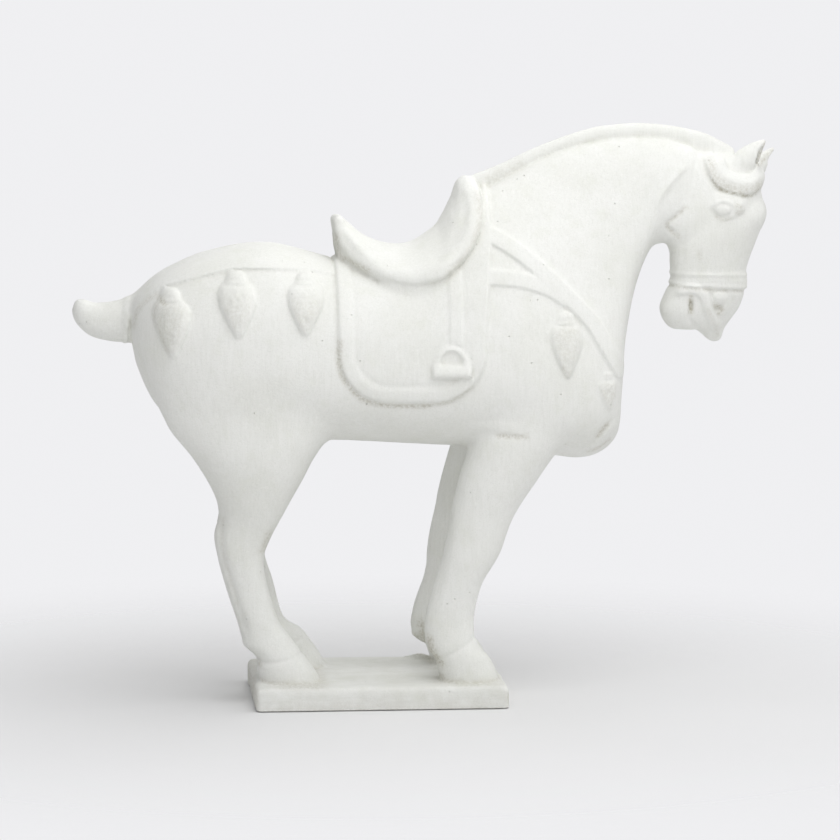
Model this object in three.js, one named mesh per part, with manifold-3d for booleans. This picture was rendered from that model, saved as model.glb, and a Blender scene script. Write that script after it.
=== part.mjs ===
// A saddled horse in white concrete, cast in one piece with the plinth under its hooves.
// Millimetres, +X towards the head, +Y towards the horse's left side, +Z up.
// The origin lies under the middle of the plinth.
import * as THREE from "three";
import Module from "manifold-3d";

const wasm = await Module();
wasm.setup();

// Plinth: a low block with soft edges.
const PLINTH_LENGTH = 227;
const PLINTH_WIDTH = 176;
const PLINTH_HEIGHT = 21;
const PLINTH_CORNER = 7;
const PLINTH_EDGE = 3;

// How round the cross sections are: 2 is an ellipse, more is boxier.
const TRUNK_ROUNDNESS = 2.3;
const HEAD_ROUNDNESS = 2.5;
const LEG_ROUNDNESS = 2.2;

// Raised work on the horse's sides, and how deep its roots reach under the skin.
const ROOT = 5;
const CLOTH_RISE = 3.5;
const BORDER_RISE = 5.5;
const BORDER_HALF = 7.5;
const STRAP_RISE = 3;
const BAND_RISE = 1.6;
const LEATHER_HALF = 6.5;
const LEATHER_RISE = 6;
const STIRRUP_HALF = 4.2;
const STIRRUP_RISE = 8.5;
const TREAD_HALF = 7.6;
const BREAST_HALF = 6;
const SHORT_HALF = 10;
const CROUP_HALF = 6;
const LEAF_HALF = 5;
const LEAF_RISE = 3;
const LIP_HALF = 5;
const LIP_RISE = 3.5;
const BROW_HALF = 4;
const BROW_RISE = 4;
const FORELOCK_HALF = 7;
const FORELOCK_RISE = 5;
const PENDANT_LENGTH = 58;
const PENDANT_HALF = 16;
const PENDANT_RISE = 11;

// Cloth under the saddle, seen from the side.
const CLOTH_REAR = -42;
const CLOTH_FRONT = 99;
const CLOTH_BOTTOM = 277;
const CLOTH_CORNER = 42;
const CLOTH_AXIS_Z = 320;
const CLOTH_REACH = [20, 200];
const BORDER_TOP = [384, 425];

// Saddle: thickness of its rim, the share of its half width that stands out past the body of the
// saddle, and how flat its back is across the horse.
const RIM_THICKNESS = 11;
const RIM_OVERHANG = 0.2;
const RIM_BULGE = 0.5;
const SEAT_POWER = 2.2;

// The far hind leg stands a little ahead of the near one, and the far fore leg a little behind:
// how far, the height where the offset starts, and the height where it is whole.
const FAR_HIND_OFFSET = [8, 210, 100];
const FAR_FORE_OFFSET = [-6, 150, 50];

// Sections of the trunk from the tail to the poll. Each row is one section seen from the side:
// lower x and z, upper x and z, half width, taper of the width towards the top.
const TRUNK = [
  [-221, 338, -223, 358, 14, 0],
  [-215, 302, -213, 375, 46, 0],
  [-190, 262, -190, 392, 72, 0],
  [-150, 242, -150, 407, 85, 0],
  [-95, 236, -95, 413, 88, 0],
  [-30, 235, -30, 397, 85, 0],
  [42, 231, 26, 398, 84, -0.05],
  [98, 228, 60, 418, 84, -0.12],
  [150, 221, 88, 455, 80, -0.28],
  [192, 218, 122, 476, 71, -0.4],
  [217, 235, 158, 493, 60, -0.45],
  [222, 270, 190, 503, 50, -0.4],
  [225, 318, 218, 508, 42, -0.3],
  [234, 368, 240, 509, 37, -0.2],
  [248, 404, 264, 507, 34, -0.1],
  [261, 412, 290, 501, 31, 0],
];

// Sections of the head from the poll to the lips, jaw side first and face side second.
const HEAD = [
  [262, 430, 289, 498, 24, -0.2],
  [266, 410, 326, 491, 31, -0.1],
  [269, 401, 353, 468, 34, 0],
  [269, 396, 356, 438, 34, -0.05],
  [269, 393, 346, 410, 31, -0.1],
  [267, 387, 337, 386, 28, -0.1],
  [265, 373, 336, 370, 27, -0.1],
  [262, 357, 331, 355, 25, -0.1],
  [264, 343, 323, 341, 21, -0.1],
  [270, 334, 317, 332, 14, 0],
];

// Sections of the point of the upper lip, which hangs below the chin.
const LIP = [
  [286, 344, 322, 341, 15, 0],
  [297, 331, 319, 332, 10, 0],
  [305, 320, 313, 322, 4, 0],
];

// Sections of a near hind leg from the haunch to the plinth, back first and front second.
// The last value is the sideways place of the leg's middle.
const HIND_LEG = [
  [-188, 322, -104, 322, 26, 0, -44],
  [-194, 286, -78, 290, 36, 0, -45],
  [-190, 254, -62, 256, 39, 0, -45],
  [-168, 222, -61, 216, 37, 0, -44],
  [-150, 194, -82, 180, 30, 0, -41],
  [-144, 173, -98, 150, 23, 0, -39],
  [-148, 149, -104, 128, 20, 0, -38],
  [-138, 106, -99, 100, 17, 0, -38],
  [-128, 76, -90, 74, 17, 0, -38],
  [-115, 49, -76, 55, 20, 0, -39],
  [-107, 42, -68, 43, 22, 0, -40],
  [-104, 28, -60, 28, 24, 0, -40],
  [-103, 14, -54, 14, 25, 0, -40],
];

// Sections of a near fore leg, in the same order.
const FORE_LEG = [
  [96, 306, 190, 306, 22, 0, -42],
  [88, 270, 188, 270, 34, 0, -43],
  [82, 236, 168, 238, 37, 0, -43],
  [72, 202, 143, 202, 33, 0, -44],
  [63, 166, 121, 168, 27, 0, -45],
  [56, 134, 108, 134, 24, 0, -46],
  [48, 104, 92, 106, 20, 0, -47],
  [41, 76, 85, 76, 18, 0, -48],
  [42, 53, 88, 55, 20, 0, -49],
  [53, 40, 99, 41, 22, 0, -50],
  [58, 28, 105, 28, 24, 0, -50],
  [64, 14, 111, 14, 25, 0, -50],
];

// Sections of the docked tail from its root to the blunt end.
const TAIL = [
  [-200, 322, -200, 374, 22, 0],
  [-222, 324, -224, 367, 20, 0],
  [-242, 326, -238, 361, 18, 0],
  [-258, 331, -252, 360, 16, 0],
  [-269, 341, -263, 363, 13, 0],
  [-274, 352, -270, 363, 7, 0],
];

// Sections of the clipped mane, root line first and crest line second.
const MANE = [
  [86, 444, 79, 465, 5, 0],
  [116, 460, 108, 481, 7, 0],
  [162, 482, 154, 502, 7, 0],
  [208, 496, 204, 517, 7, 0],
  [250, 498, 251, 521, 7, 0],
  [288, 490, 298, 511, 7, 0],
  [316, 478, 329, 495, 6, 0],
];

// The saddle across the horse. Each row is one slice: x, height of the seat on the middle line,
// height of the rim, half width at the rim, height of its sole.
const SADDLE = [
  [-39, 435, 429, 12, 423],
  [-32, 437, 424, 30, 398],
  [-12, 425, 406, 52, 375],
  [8, 413, 392, 64, 362],
  [30, 413, 387, 68, 362],
  [52, 421, 391, 66, 362],
  [66, 447, 401, 60, 372],
  [78, 466, 419, 50, 384],
  [89, 467, 448, 32, 400],
];

// Noseband: two ridges round the head, each from one place in the table of the head to another.
const NOSEBAND = [[4.95, 5.3], [5.5, 5.95]];
const HEAD_START = 250;

// Ears: root, tip and radius at the root. Then how thick they are from root to tip, as shares.
const EARS = [
  [[332, -14, 476], [353, -16, 505], 11],
  [[341, 12, 478], [367, 13, 497], 10],
];
const EAR_OUTLINE = [[0, 1], [0.35, 0.9], [0.7, 0.5], [1, 0.1]];
const EAR_FLATNESS = 0.8;

// Swellings of the eye and of the nostril: x, z, half length, half height, rise.
const SWELLINGS = [
  [311, 443, 9, 6, 5],
  [313, 357, 5, 5, 4],
];

// Places of the pendants seen from the side: x and z of the top, lean of the tip, size.
// The last one hangs in front of the chest.
const PENDANTS = [
  [-186, 375, 0, 0.98],
  [-127, 392, -3, 1],
  [-69, 393, 1, 0.98],
  [161, 353, 6, 0.95],
  [206, 297, 0, 0.58],
];

// Place along a pendant from its cap to its tip, half width and rise, as shares of the full ones.
const PENDANT_OUTLINE = [
  [0, 0.4, 0.4],
  [0.12, 0.68, 0.75],
  [0.34, 1, 1],
  [0.58, 0.9, 0.95],
  [0.82, 0.45, 0.6],
  [1, 0.08, 0.15],
];

const BREAST_STRAP = [[100, 426], [136, 402], [166, 372], [191, 338], [207, 304]];
const SHORT_STRAP = [[98, 391], [126, 387], [152, 372]];
const CROUP_STRAP = [[-204, 370], [-186, 383], [-150, 392], [-110, 396], [-70, 395], [-40, 390]];
const CHEEK_LEAF = [[276, 482], [263, 471], [253, 456], [251, 442], [256, 428]];
const UPPER_LIP = [[269, 366], [282, 370], [295, 367], [300, 352], [307, 336]];
const BROW = [[303, 452], [314, 459], [326, 456], [332, 447]];
const FORELOCK = [[305, 484], [312, 473], [324, 466], [338, 463], [348, 470]];
const LEATHER_X = 64;
const LEATHER_TOP = 384;
const LEATHER_BOTTOM = 330;
const STIRRUP_ARCH = [[47, 303], [51, 317], [63, 325], [74, 317], [77, 303]];
const STIRRUP_TREAD = [[44, 303.5], [80, 303.5]];

// Halvings that find a place to well under a hundredth of a millimetre.
const HALVINGS = 20;

// One number between b and c on the smooth curve through a, b, c and d.
function between(a, b, c, d, f) {
  const slope = c - a;
  const bend = 2 * a - 5 * b + 4 * c - d;
  const twist = 3 * (b - c) + d - a;
  return b + 0.5 * f * (slope + f * (bend + f * twist));
}

// The row at place s of a table, on a smooth curve through its rows.
function rowAt(rows, s) {
  const last = rows.length - 1;
  const i = Math.max(0, Math.min(Math.floor(s), last - 1));
  const before = rows[Math.max(i - 1, 0)];
  const after = rows[Math.min(i + 2, last)];
  return rows[i].map((value, k) => between(before[k], value, rows[i + 1][k], after[k], s - i));
}

function signedPower(value, exponent) {
  return Math.sign(value) * Math.abs(value) ** exponent;
}

// Point of a section at an angle: 0 is the horse's left side, a quarter turn is the upper edge.
function sectionPoint(row, angle, roundness, grow) {
  const [lowX, lowZ, highX, highZ, half, taper, middle = 0] = row;
  const up = signedPower(Math.sin(angle), 2 / roundness);
  const side = signedPower(Math.cos(angle), 2 / roundness) * (1 + taper * up);
  const reach = Math.hypot(highX - lowX, highZ - lowZ) / 2;
  const stretch = up * (1 + grow / reach);
  const x = (lowX + highX) / 2 + stretch * (highX - lowX) / 2;
  const z = (lowZ + highZ) / 2 + stretch * (highZ - lowZ) / 2;
  return new THREE.Vector3(x, middle + side * (half + grow), z);
}

function ringOf(count, pointAt) {
  return Array.from({ length: count }, (_, i) => pointAt(2 * Math.PI * i / count));
}

// A closed body through rings of points, with a fan over each end, as a solid for joining.
function bodyThrough(rings) {
  const count = rings[0].length;
  const corners = [];
  const middle = (ring) => ring.reduce((sum, p) => sum.add(p), new THREE.Vector3()).divideScalar(count);
  const points = [...rings.flat(), middle(rings[0]), middle(rings[rings.length - 1])];
  const first = count * rings.length;
  for (let i = 0; i < count; i += 1) {
    const next = (i + 1) % count;
    const end = count * (rings.length - 1);
    corners.push(first, next, i);
    corners.push(first + 1, end + i, end + next);
    for (let r = 0; r < rings.length - 1; r += 1) {
      const here = r * count;
      const there = here + count;
      corners.push(here + i, here + next, there + next);
      corners.push(here + i, there + next, there + i);
    }
  }
  return solidOf(points, corners);
}

// Turns a closed surface so that it faces outwards, and makes a solid of it.
function solidOf(points, corners) {
  let volume = 0;
  for (let i = 0; i < corners.length; i += 3) {
    const [a, b, c] = [points[corners[i]], points[corners[i + 1]], points[corners[i + 2]]];
    volume += a.dot(new THREE.Vector3().crossVectors(b, c));
  }
  const outward = volume > 0 ? corners : corners.toReversed();
  const vertProperties = new Float32Array(points.flatMap((p) => p.toArray()));
  const triVerts = new Uint32Array(outward);
  return new wasm.Manifold(new wasm.Mesh({ numProp: 3, vertProperties, triVerts }));
}

// A body through the sections of a table.
function loft(rows, { rings, sides, roundness, grow = 0, from = 0, to = rows.length - 1 }) {
  const slices = Array.from({ length: rings }, (_, r) => {
    const row = rowAt(rows, from + (to - from) * r / (rings - 1));
    return ringOf(sides, (angle) => sectionPoint(row, angle, roundness, grow));
  });
  return bodyThrough(slices);
}

// Half width of a lofted table at a point seen from the side, or 0 off its outline.
function halfWidthIn(rows, roundness, x, z) {
  const ahead = (s) => {
    const [lowX, lowZ, highX, highZ] = rowAt(rows, s);
    return (highZ - lowZ) * (x - lowX) - (highX - lowX) * (z - lowZ);
  };
  let from = 0;
  let to = rows.length - 1;
  if (ahead(from) < 0 || ahead(to) > 0) {
    return 0;
  }
  for (let i = 0; i < HALVINGS; i += 1) {
    const s = (from + to) / 2;
    if (ahead(s) > 0) {
      from = s;
    } else {
      to = s;
    }
  }
  const [lowX, lowZ, highX, highZ, half, taper] = rowAt(rows, from);
  const reachX = highX - lowX;
  const reachZ = highZ - lowZ;
  const along = ((x - lowX) * reachX + (z - lowZ) * reachZ) / (reachX ** 2 + reachZ ** 2);
  const t = 2 * along - 1;
  const room = Math.max(0, 1 - Math.abs(t) ** roundness);
  return half * (1 + taper * t) * room ** (1 / roundness);
}

// Half width of the horse's skin at a point seen from the side.
function skinAt(x, z) {
  const trunk = halfWidthIn(TRUNK, TRUNK_ROUNDNESS, x, z);
  const head = x > HEAD_START ? halfWidthIn(HEAD, HEAD_ROUNDNESS, x, z) : 0;
  return Math.max(trunk, head);
}

// Point over the skin of the near side, lifted along the skin's own direction.
function overSkin(x, z, lift) {
  const step = 2;
  const slopeX = (skinAt(x + step, z) - skinAt(x - step, z)) / (2 * step);
  const slopeZ = (skinAt(x, z + step) - skinAt(x, z - step)) / (2 * step);
  const outward = new THREE.Vector3(-slopeX, -1, -slopeZ).normalize();
  return new THREE.Vector3(x, -skinAt(x, z), z).addScaledVector(outward, lift);
}

// A raised strip on the near side along a path seen from the side.
function strip(path, { steps, sides, half, rise, roundness = 2 }) {
  const curve = new THREE.SplineCurve(path.map(([x, z]) => new THREE.Vector2(x, z)));
  const halfAt = typeof half === "function" ? half : () => half;
  const riseAt = typeof rise === "function" ? rise : () => rise;
  const rings = Array.from({ length: steps + 1 }, (_, i) => {
    const v = i / steps;
    const here = curve.getPointAt(v);
    const along = curve.getTangentAt(v);
    return ringOf(sides, (angle) => {
      const across = halfAt(v) * signedPower(Math.cos(angle), 2 / roundness);
      const height = signedPower(Math.sin(angle), 2 / roundness);
      const lift = height > 0 ? riseAt(v) * height : ROOT * height;
      return overSkin(here.x - along.y * across, here.y + along.x * across, lift);
    });
  });
  return bodyThrough(rings);
}

// The same body on the other side of the horse.
function mirrored(solid) {
  const mesh = solid.getMesh();
  const points = [];
  for (let i = 0; i < mesh.numVert; i += 1) {
    const [x, y, z] = mesh.vertProperties.slice(i * mesh.numProp, i * mesh.numProp + 3);
    points.push(new THREE.Vector3(x, -y, z));
  }
  return solidOf(points, Array.from(mesh.triVerts));
}

// A pendant: a small cap over a leaf-shaped drop that ends in a point.
function pendant([topX, topZ, lean, size]) {
  const rings = PENDANT_OUTLINE.map(([v, halfShare, riseShare]) => ringOf(6, (angle) => {
    const across = PENDANT_HALF * size * halfShare * Math.cos(angle);
    const height = Math.sin(angle);
    const lift = height > 0 ? PENDANT_RISE * size * riseShare * height : ROOT * height;
    return overSkin(topX + lean * v + across, topZ - PENDANT_LENGTH * size * v, lift);
  }));
  return bodyThrough(rings);
}

// Legs: the near one as its table says, the far one mirrored and set off along the horse.
function leg(rows, [offset, startZ, wholeZ]) {
  const size = { rings: 12, sides: 10, roundness: LEG_ROUNDNESS };
  const far = rows.map(([lowX, lowZ, highX, highZ, half, taper, middle]) => {
    const step = offset * THREE.MathUtils.clamp((startZ - lowZ) / (startZ - wholeZ), 0, 1);
    return [lowX + step, lowZ, highX + step, highZ, half, taper, -middle];
  });
  return [loft(rows, size), loft(far, size)];
}

// Plinth: a rounded rectangle with beveled edges.
function plinth() {
  const levels = [
    [0, PLINTH_EDGE / 2],
    [PLINTH_EDGE / 2, 0],
    [PLINTH_HEIGHT - PLINTH_EDGE * 1.4, 0],
    [PLINTH_HEIGHT - PLINTH_EDGE * 0.4, PLINTH_EDGE * 0.5],
    [PLINTH_HEIGHT, PLINTH_EDGE * 1.6],
  ];
  const turns = 3;
  const rings = levels.map(([z, inset]) => {
    const ring = [];
    const corners = [[1, 1], [-1, 1], [-1, -1], [1, -1]];
    corners.forEach(([sideX, sideY], quarter) => {
      for (let i = 0; i <= turns; i += 1) {
        const angle = (quarter + i / turns) * Math.PI / 2;
        const radius = PLINTH_CORNER - inset;
        const x = sideX * (PLINTH_LENGTH / 2 - PLINTH_CORNER) + radius * Math.cos(angle);
        const y = sideY * (PLINTH_WIDTH / 2 - PLINTH_CORNER) + radius * Math.sin(angle);
        ring.push(new THREE.Vector3(x, y, z));
      }
    });
    return ring;
  });
  return bodyThrough(rings);
}

// Cloth under the saddle: slices across the horse, each running up one side and down the other.
function cloth() {
  const distance = (x, angle) => {
    let [inside, outside] = CLOTH_REACH;
    for (let i = 0; i < HALVINGS; i += 1) {
      const r = (inside + outside) / 2;
      const z = CLOTH_AXIS_Z + r * Math.sin(angle);
      if (skinAt(x, z) > Math.abs(r * Math.cos(angle))) {
        inside = r;
      } else {
        outside = r;
      }
    }
    return inside;
  };
  const places = [0, 0.04, 0.14, 0.3, 0.5, 0.7, 0.86, 0.96, 1];
  const rings = places.map((place) => {
    const x = THREE.MathUtils.lerp(CLOTH_REAR, CLOTH_FRONT, place);
    const toEdge = Math.min(x - CLOTH_REAR, CLOTH_FRONT - x);
    const inCorner = Math.max(0, CLOTH_CORNER - toEdge);
    const lowZ = CLOTH_BOTTOM + CLOTH_CORNER - Math.sqrt(CLOTH_CORNER ** 2 - inCorner ** 2);
    const start = Math.atan2(lowZ - CLOTH_AXIS_Z, skinAt(x, lowZ));
    const turns = 12;
    const outer = [];
    const inner = [];
    for (let i = 0; i <= turns; i += 1) {
      const angle = THREE.MathUtils.lerp(start, Math.PI - start, i / turns);
      const skin = distance(x, angle);
      const away = (r) => new THREE.Vector3(x, r * Math.cos(angle), CLOTH_AXIS_Z + r * Math.sin(angle));
      outer.push(away(skin + CLOTH_RISE));
      inner.push(away(skin - ROOT));
    }
    return [...outer, ...inner.reverse()];
  });
  return bodyThrough(rings);
}

// Raised border along the rear, the bottom and the front of the cloth.
function clothBorder() {
  const inset = BORDER_HALF;
  const rear = CLOTH_REAR + inset;
  const front = CLOTH_FRONT - inset;
  const bottom = CLOTH_BOTTOM + inset;
  const bend = CLOTH_CORNER - inset;
  const cut = bend * (1 - Math.SQRT1_2);
  const [rearTop, frontTop] = BORDER_TOP;
  const middle = (bottom + rearTop) / 2;
  const path = [
    [rear, rearTop], [rear, middle], [rear, bottom + bend], [rear + cut, bottom + cut],
    [rear + bend, bottom], [(rear + front) / 2, bottom], [front - bend, bottom],
    [front - cut, bottom + cut], [front, bottom + bend], [front, middle], [front, frontTop],
  ];
  return strip(path, { steps: 13, sides: 5, half: BORDER_HALF, rise: BORDER_RISE, roundness: 4 });
}

// Saddle: a seat between a low cantle and a high pommel, with a thick rim round the flaps.
function saddle() {
  const slices = 15;
  const arc = 8;
  const rings = Array.from({ length: slices }, (_, r) => {
    const [x, seat, rim, half, sole] = rowAt(SADDLE, (SADDLE.length - 1) * r / (slices - 1));
    const drop = (share) => seat - (seat - rim) * Math.abs(share) ** SEAT_POWER;
    const back = Array.from({ length: arc + 1 }, (_, i) => {
      const share = 1 - 2 * i / arc;
      return [half * share, drop(share)];
    });
    const under = half * (1 - RIM_OVERHANG);
    const edge = [
      [half + RIM_BULGE, rim - RIM_THICKNESS * 0.45],
      [half * 0.95, rim - RIM_THICKNESS],
      [under, rim - RIM_THICKNESS * 0.8],
      [under * 0.9, sole],
    ];
    const farEdge = edge.map(([y, z]) => [-y, z]);
    return [...back, ...farEdge, ...edge.reverse()].map(([y, z]) => new THREE.Vector3(x, y, z));
  });
  return bodyThrough(rings);
}

// A pointed ear from its root to its tip.
function ear([root, tip, radius]) {
  const start = new THREE.Vector3(...root);
  const axis = new THREE.Vector3(...tip).sub(start);
  const across = new THREE.Vector3(0, 1, 0);
  const over = new THREE.Vector3().crossVectors(axis, across).normalize();
  const rings = EAR_OUTLINE.map(([place, share]) => ringOf(8, (angle) => {
    const point = start.clone().addScaledVector(axis, place);
    point.addScaledVector(across, radius * share * Math.cos(angle));
    return point.addScaledVector(over, radius * share * EAR_FLATNESS * Math.sin(angle));
  }));
  return bodyThrough(rings);
}

// An egg-shaped swelling on the near side of the head.
function swelling([x, z, halfLong, halfTall, rise]) {
  const path = [[x - halfLong, z], [x + halfLong, z]];
  const bulge = (v) => Math.sqrt(Math.max(0.02, 1 - (2 * v - 1) ** 2));
  return strip(path, { steps: 4, sides: 5, half: (v) => halfTall * bulge(v), rise: (v) => rise * bulge(v) });
}

// A width that grows from a narrow start and narrows again towards the end.
function tapering(half) {
  return (v) => half * Math.min(1, 0.15 + 4 * v, 0.15 + 4 * (1 - v));
}

const middleBodies = [
  plinth(),
  loft(TRUNK, { rings: 26, sides: 20, roundness: TRUNK_ROUNDNESS }),
  loft(HEAD, { rings: 14, sides: 16, roundness: HEAD_ROUNDNESS }),
  ...NOSEBAND.map(([from, to]) => (
    loft(HEAD, { rings: 2, sides: 16, roundness: HEAD_ROUNDNESS, grow: BAND_RISE, from, to })
  )),
  loft(LIP, { rings: 4, sides: 10, roundness: HEAD_ROUNDNESS }),
  loft(TAIL, { rings: 8, sides: 9, roundness: LEG_ROUNDNESS }),
  loft(MANE, { rings: 12, sides: 6, roundness: 2.6 }),
  cloth(),
  saddle(),
  ...EARS.map(ear),
  ...leg(HIND_LEG, FAR_HIND_OFFSET),
  ...leg(FORE_LEG, FAR_FORE_OFFSET),
];

const sideBodies = [
  clothBorder(),
  strip(BREAST_STRAP, { steps: 6, sides: 6, half: BREAST_HALF, rise: STRAP_RISE, roundness: 4 }),
  strip(SHORT_STRAP, { steps: 4, sides: 6, half: SHORT_HALF, rise: STRAP_RISE, roundness: 4 }),
  strip(CROUP_STRAP, { steps: 6, sides: 5, half: CROUP_HALF, rise: STRAP_RISE, roundness: 3 }),
  strip([[LEATHER_X, LEATHER_TOP], [LEATHER_X, LEATHER_BOTTOM]], {
    steps: 3, sides: 6, half: LEATHER_HALF, rise: LEATHER_RISE, roundness: 4,
  }),
  strip(STIRRUP_ARCH, { steps: 6, sides: 5, half: STIRRUP_HALF, rise: STIRRUP_RISE }),
  strip(STIRRUP_TREAD, { steps: 2, sides: 6, half: TREAD_HALF, rise: STIRRUP_RISE }),
  strip(CHEEK_LEAF, { steps: 4, sides: 5, half: tapering(LEAF_HALF), rise: LEAF_RISE }),
  strip(UPPER_LIP, { steps: 6, sides: 5, half: tapering(LIP_HALF), rise: LIP_RISE }),
  strip(BROW, { steps: 4, sides: 5, half: tapering(BROW_HALF), rise: BROW_RISE }),
  strip(FORELOCK, { steps: 6, sides: 5, half: tapering(FORELOCK_HALF), rise: FORELOCK_RISE }),
  ...SWELLINGS.map(swelling),
  ...PENDANTS.map(pendant),
];

const whole = [...middleBodies, ...sideBodies, ...sideBodies.map(mirrored)]
  .reduce((sum, body) => sum.add(body));

// The joined solid as a geometry with merged vertices.
function geometryOf(solid) {
  const mesh = solid.getMesh();
  const geometry = new THREE.BufferGeometry();
  geometry.setAttribute("position", new THREE.BufferAttribute(mesh.vertProperties, mesh.numProp));
  geometry.setIndex(new THREE.BufferAttribute(mesh.triVerts, 1));
  geometry.computeVertexNormals();
  return geometry;
}

const concrete = new THREE.MeshStandardMaterial({ color: 0xf1f0ec, roughness: 0.92, metalness: 0 });
const sculpture = new THREE.Mesh(geometryOf(whole), concrete);
sculpture.name = "horse_sculpture";

const model = new THREE.Group();
model.add(sculpture);

export default model;
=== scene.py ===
# %% [markdown]
# # A saddled horse in white concrete
# A horse with its saddle, cloth and straps on a low plinth, poured into a mould as a single
# block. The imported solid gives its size, and this script gives it the soft transitions, the
# raised work and the finish of the casting.

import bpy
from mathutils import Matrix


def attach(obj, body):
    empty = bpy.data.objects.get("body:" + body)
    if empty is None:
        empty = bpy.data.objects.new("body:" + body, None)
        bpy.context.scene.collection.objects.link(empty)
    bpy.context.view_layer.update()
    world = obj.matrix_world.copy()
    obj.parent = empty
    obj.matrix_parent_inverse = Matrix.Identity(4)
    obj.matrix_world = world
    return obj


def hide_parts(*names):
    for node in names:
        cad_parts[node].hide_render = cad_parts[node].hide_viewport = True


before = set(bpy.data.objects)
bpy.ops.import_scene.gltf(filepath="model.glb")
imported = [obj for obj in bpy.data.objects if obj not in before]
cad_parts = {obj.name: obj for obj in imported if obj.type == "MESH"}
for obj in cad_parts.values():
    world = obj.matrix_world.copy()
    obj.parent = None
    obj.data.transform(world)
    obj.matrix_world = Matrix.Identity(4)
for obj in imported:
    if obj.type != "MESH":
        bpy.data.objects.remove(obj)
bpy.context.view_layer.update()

import bpy
import numpy as np
from mathutils import Matrix

CELL = 1.5
MM = 0.001
LOW = np.array([-286.0, -103.5, -6.0])
HIGH = np.array([380.0, 103.5, 530.0])
FAR = 60.0


def add_object(name, data):
    """An object with the given data, in the scene."""
    thing = bpy.data.objects.new(name, data)
    bpy.context.scene.collection.objects.link(thing)
    return thing


def direction(turn, rise):
    """The unit vector turned from -y towards +x by turn and raised by rise:
    (sin turn cos rise, -cos turn cos rise, sin rise)."""
    return np.array([np.sin(turn) * np.cos(rise), -np.cos(turn) * np.cos(rise), np.sin(rise)])


def facing(z_axis, beside, place=(0, 0, 0)):
    """The pose of a camera or lamp at a place: it looks against z_axis, and its x axis is
    square to z_axis and to beside, as their cross product."""
    z_axis = z_axis / np.linalg.norm(z_axis)
    x_axis = np.cross(beside, z_axis)
    x_axis /= np.linalg.norm(x_axis)
    pose = np.eye(4)
    pose[:3] = np.stack([x_axis, np.cross(z_axis, x_axis), z_axis, place], axis=1)
    return Matrix(pose.tolist())


# %% [markdown]
# ## The camera
# The photograph was taken from a few metres away, nearly from the side and a little above
# the horse's back. A long lens keeps the legs upright and the plinth nearly straight.

# %% The camera
VIEW_TURN = np.radians(-4.94)
VIEW_RISE = np.radians(5.95)
VIEW_AWAY = 3.8
VIEW_TARGET = np.array([0.04058, 0.0, 0.25132])
LENS = 179.36
SENSOR = 36.0
SEES_TO = 200.0

back = direction(VIEW_TURN, VIEW_RISE)
camera_data = bpy.data.cameras.new("camera")
camera_data.lens = LENS
camera_data.sensor_width = SENSOR
camera_data.clip_end = SEES_TO
camera = add_object("camera", camera_data)
camera.matrix_world = facing(back, (0, 0, 1), VIEW_TARGET + back * VIEW_AWAY)
bpy.context.scene.camera = camera
print("camera at", camera.matrix_world.translation)

# %% [markdown]
# ## Section lines
# A sculptor draws a horse from the side and then gives each limb its thickness. So does this
# script: each row is one section of a limb, a line on the side view from a low end to a high
# end, with half the thickness there. A smooth curve gives the sections between the rows.

# %% The sections of the limbs, in millimetres
# Low x and z, high x and z, half width, taper of the width towards the high end, and the
# sideways place of the limb's middle.
TRUNK = [
    [-221, 338, -223, 354, 14, 0, 0], [-215, 302, -213, 370, 46, 0, 0],
    [-193, 262, -190, 388.5, 72, 0, 0], [-150, 242, -150, 405.5, 84.5, -0.03, 0],
    [-95, 236, -95, 413, 87, -0.06, 0], [-30, 235, -30, 397, 83.5, -0.09, 0],
    [42, 231, 26, 398, 82.5, -0.12, 0], [98, 228, 60, 418, 83, -0.16, 0],
    [150, 221, 88, 455, 80, -0.28, 0], [192, 218, 122, 476, 71, -0.4, 0],
    [217, 235, 158, 493, 60, -0.45, 0], [222, 270, 190, 503, 50, -0.4, 0],
    [225, 318, 218, 508, 42, -0.3, 0], [234, 368, 240, 509, 37, -0.2, 0],
    [248, 404, 264, 507, 34, -0.1, 0], [261, 412, 290, 501, 28, 0, 0],
]
HEAD = [
    [256, 420, 288, 498, 27.5, -0.1, 0], [265, 411, 326, 491, 31, -0.08, 0],
    [268, 405, 352, 476, 33, 0, 0], [269, 401, 351, 458.5, 34, 0, 0], [269, 399, 354.4, 443, 34, 0, 0],
    [269, 397, 353.6, 432, 33.4, -0.02, 0], [269, 394, 346, 411, 31.8, -0.05, 0],
    [269.5, 388, 338.5, 389, 29.4, -0.08, 0], [270, 377, 338.5, 374, 27.6, -0.1, 0],
    [264.5, 365, 335.5, 362, 26.2, -0.1, 0], [260, 353, 331, 351, 24, -0.1, 0],
    [262.5, 342, 323.5, 340.5, 20, -0.1, 0], [269, 333, 315, 332, 13, 0, 0],
]
LIP = [
    [283, 341, 322, 341, 15, 0, 0], [293, 331.5, 318, 332, 11, 0, 0],
    [308, 320.5, 315.5, 322.5, 5, 0, 0],
]
HIND_LEG = [
    [-188, 322, -104, 322, 26, 0, -44], [-197, 284, -72, 290, 34, 0, -45],
    [-190, 254, -42, 258, 36, 0, -45], [-166, 222, -62, 217, 35.5, 0, -44],
    [-149.5, 194, -81, 181, 30, 0, -41], [-144, 173, -98, 150, 23, 0, -39],
    [-148, 149, -104, 128, 20, 0, -38], [-138, 106, -99, 100, 17, 0, -38],
    [-128, 76, -90, 74, 17, 0, -38], [-124.5, 62, -82.5, 63.5, 17.8, 0, -38.6],
    [-122, 53, -77, 56, 19, 0, -39], [-111.5, 43, -68, 44, 21, 0, -40], [-110, 30, -58, 30, 24, 0, -40],
    [-106, 14, -50, 14, 26, 0, -40],
]
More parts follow.
